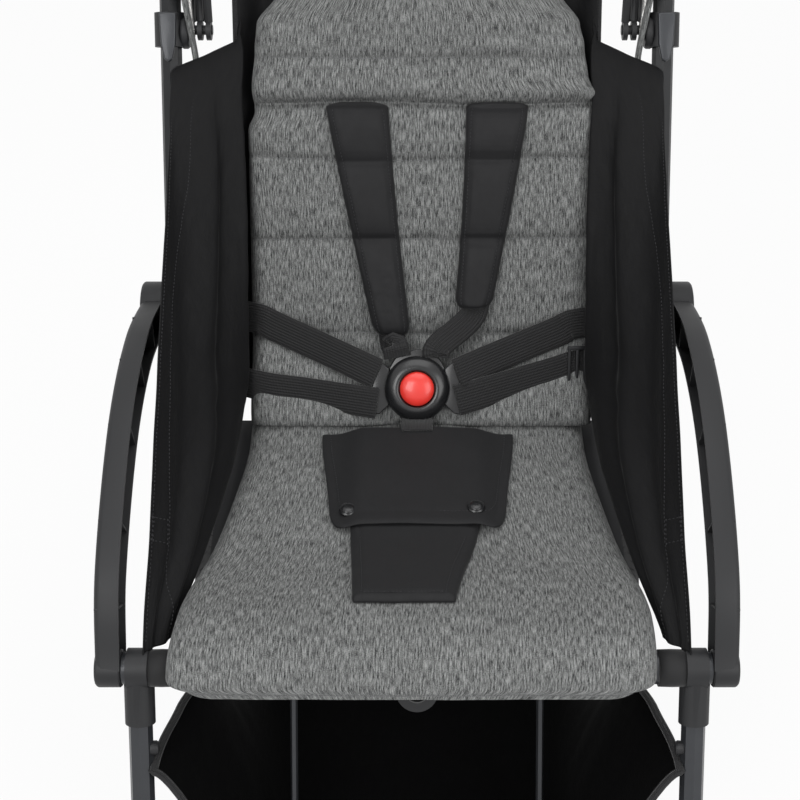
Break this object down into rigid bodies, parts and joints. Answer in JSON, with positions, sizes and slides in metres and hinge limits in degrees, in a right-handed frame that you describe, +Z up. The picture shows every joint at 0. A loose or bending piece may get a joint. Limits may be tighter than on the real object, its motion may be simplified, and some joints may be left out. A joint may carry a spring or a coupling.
{
  "type": "stroller",
  "caption": "Folding stroller with a quilted seat, five-point harness, hood, basket, swivelling front casters and curved side arms.",
  "frame": {"origin": "on the floor, at the middle of the overall box", "axes": "+Z up, front towards -Y, +X to the right of someone facing the front; left is -X"},
  "size_m": [0.47, 0.813, 1.0208],
  "materials": {
    "frame": "charcoal powder coat",
    "plastic": "satin black moulding",
    "steel": "zinc plated",
    "grip_foam": "soft foam",
    "tyre": "matt",
    "melange": "grey melange weave",
    "black_fabric": "black polyester",
    "webbing": "black ribbed webbing",
    "red_plastic": "red moulding"
  },
  "bodies": {
    "rear_frame": {"rear_leg_left": "frame", "rear_leg_right": "frame", "rear_cross_tube": "frame", "rear_axle_rod": "steel"},
    "handle_frame": {"handle_tube": "frame", "handle_grip": "grip_foam", "hood_clamp_left": "plastic", "hood_clamp_right": "plastic", "hood_rib_rear": "plastic", "hood_fabric": "melange"},
    "hood_front": {"hood_rib_front": "plastic"},
    "hood_middle": {"hood_rib_middle": "plastic"},
    "front_frame": {"seat_bar": "frame", "seat_panel": "plastic", "seat_pad": "melange", "basket": "black_fabric", "basket_hanger": "frame", "crotch_pad": "black_fabric", "crotch_flap": "black_fabric", "crotch_strap": "webbing", "buckle_housing": "plastic", "side_arm_left": "plastic", "front_leg_left": "frame", "leg_connector_left": "plastic", "side_panel_left": "black_fabric", "bar_loop_left": "webbing", "buckle_tongue_left": "plastic", "waist_strap_upper_left": "webbing", "waist_strap_lower_left": "webbing", "side_arm_right": "plastic", "front_leg_right": "frame", "leg_connector_right": "plastic", "side_panel_right": "black_fabric", "bar_loop_right": "webbing", "buckle_tongue_right": "plastic", "waist_strap_upper_right": "webbing", "waist_strap_lower_right": "webbing"},
    "backrest": {"back_frame": "frame", "back_pad": "melange", "shoulder_pad_left": "black_fabric", "shoulder_strap_left": "webbing", "shoulder_pad_right": "black_fabric", "shoulder_strap_right": "webbing"},
    "buckle_button": {"buckle_button": "red_plastic"},
    "fold_pull": {"fold_pull": "plastic"},
    "brake_pedal": {"brake_pedal": "plastic"},
    "brace_lower": {"brace_lower_left": "frame", "brace_lower_right": "frame"},
    "brace_upper": {"brace_upper_left": "frame", "brace_upper_right": "frame"},
    "caster_left": {"caster_fork_left": "plastic"},
    "front_wheel_left": {"front_left_tyre": "tyre", "front_left_rim": "plastic"},
    "rear_wheel_left": {"rear_left_tyre": "tyre", "rear_left_rim": "plastic"},
    "caster_right": {"caster_fork_right": "plastic"},
    "front_wheel_right": {"front_right_tyre": "tyre", "front_right_rim": "plastic"},
    "rear_wheel_right": {"rear_right_tyre": "tyre", "rear_right_rim": "plastic"}
  },
  "joints": [
    {"name": "handle_fold", "type": "hinge", "parent": "rear_frame", "child": "handle_frame", "pos_m": [0, 0.10354, 0.527], "axis": [1, 0, 0], "range_deg": [0, 125]},
    {"name": "leg_fold", "type": "hinge", "parent": "rear_frame", "child": "front_frame", "pos_m": [0, 0.10354, 0.527], "axis": [1, 0, 0], "range_deg": [0, 55.01], "deforming": ["side_panel_left", "side_panel_right"]},
    {"name": "brace_lower_swing", "type": "hinge", "parent": "rear_frame", "child": "brace_lower", "pos_m": [0, 0.20854, 0.075], "axis": [1, 0, 0], "range_deg": [-67.35, 0]},
    {"name": "brace_upper_swing", "type": "hinge", "parent": "front_frame", "child": "brace_upper", "pos_m": [0, -0.08146, 0.415], "axis": [1, 0, 0], "range_deg": [-14.98, 0]},
    {"name": "recline", "type": "hinge", "parent": "front_frame", "child": "backrest", "pos_m": [0, 0.07854, 0.4305], "axis": [1, 0, 0], "range_deg": [-33, 0]},
    {"name": "hood_open", "type": "hinge", "parent": "handle_frame", "child": "hood_front", "pos_m": [0, 0.22457, 0.72843], "axis": [1, 0, 0], "range_deg": [0, 66], "deforming": ["hood_fabric"]},
    {"name": "hood_middle_turn", "type": "hinge", "parent": "handle_frame", "child": "hood_middle", "pos_m": [0, 0.22457, 0.72843], "axis": [1, 0, 0], "range_deg": [0, 33]},
    {"name": "brake", "type": "hinge", "parent": "rear_frame", "child": "brake_pedal", "pos_m": [0, 0.20854, 0.075], "axis": [1, 0, 0], "range_deg": [-18, 0]},
    {"name": "buckle_press", "type": "slide", "parent": "front_frame", "child": "buckle_button", "axis": [0, 0.809, -0.5878], "range_m": [0, 0.0025], "stiffness_N_per_m": 600, "springref_m": -0.002},
    {"name": "pull_travel", "type": "slide", "parent": "front_frame", "child": "fold_pull", "axis": [0, 0, -1], "range_m": [0, 0.012], "stiffness_N_per_m": 150, "springref_m": -0.01},
    {"name": "caster_swivel_left", "type": "hinge", "parent": "front_frame", "child": "caster_left", "pos_m": [-0.2043, -0.36646, 0.2], "axis": [0, 0, 1], "continuous": true},
    {"name": "front_wheel_spin_left", "type": "hinge", "parent": "caster_left", "child": "front_wheel_left", "pos_m": [-0.2043, -0.33646, 0.07], "axis": [1, 0, 0], "continuous": true},
    {"name": "rear_wheel_spin_left", "type": "hinge", "parent": "rear_frame", "child": "rear_wheel_left", "pos_m": [-0.222, 0.20854, 0.075], "axis": [1, 0, 0], "continuous": true},
    {"name": "caster_swivel_right", "type": "hinge", "parent": "front_frame", "child": "caster_right", "pos_m": [0.2043, -0.36646, 0.2], "axis": [0, 0, 1], "continuous": true},
    {"name": "front_wheel_spin_right", "type": "hinge", "parent": "caster_right", "child": "front_wheel_right", "pos_m": [0.2043, -0.33646, 0.07], "axis": [1, 0, 0], "continuous": true},
    {"name": "rear_wheel_spin_right", "type": "hinge", "parent": "rear_frame", "child": "rear_wheel_right", "pos_m": [0.222, 0.20854, 0.075], "axis": [1, 0, 0], "continuous": true}
  ],
  "couplings": [
    {"joint": "leg_fold", "follows": "handle_fold", "ratio": 0.44},
    {"joint": "brace_lower_swing", "follows": "handle_fold", "ratio": -0.53869},
    {"joint": "brace_upper_swing", "follows": "handle_fold", "ratio": -0.11976},
    {"joint": "hood_middle_turn", "follows": "hood_open", "ratio": 0.5}
  ]
}
